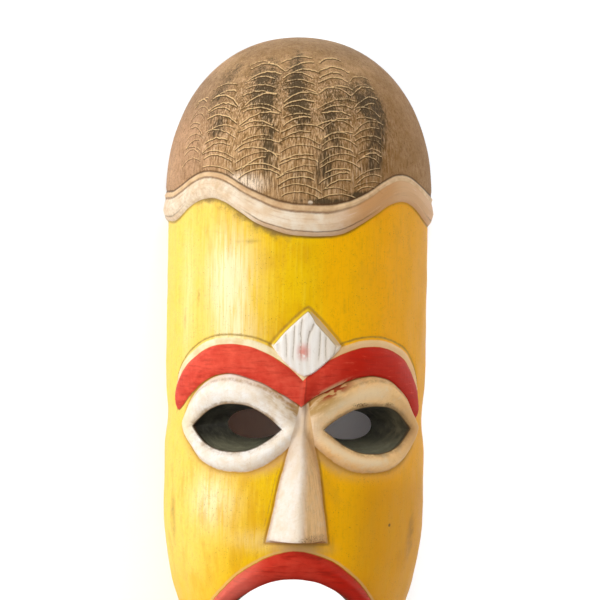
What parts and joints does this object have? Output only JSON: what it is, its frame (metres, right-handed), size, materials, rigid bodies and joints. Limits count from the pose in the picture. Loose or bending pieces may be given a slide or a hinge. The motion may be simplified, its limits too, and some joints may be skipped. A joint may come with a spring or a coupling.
{
  "type": "wooden face mask",
  "caption": "long carved and painted wooden face mask with a domed cap, arched brows, pierced eyes, a wedge nose and an arched open mouth, hollow behind",
  "frame": {"origin": "middle of the flat back rim, on the surface that the mask lies on, at the middle of its length and width", "axes": "+Y towards the crown, along the mask's length; +X across the face, to the right as the face is looked at with its crown up; +Z out of the face, up when the mask lies on its back rim"},
  "size_m": [0.1622, 0.4, 0.0948],
  "materials": {
    "painted_wood": "hand-painted, satin, rubbed and stained with brown patina; bare gouged wood behind"
  },
  "bodies": {
    "root": {"mask": "painted_wood"}
  },
  "joints": []
}
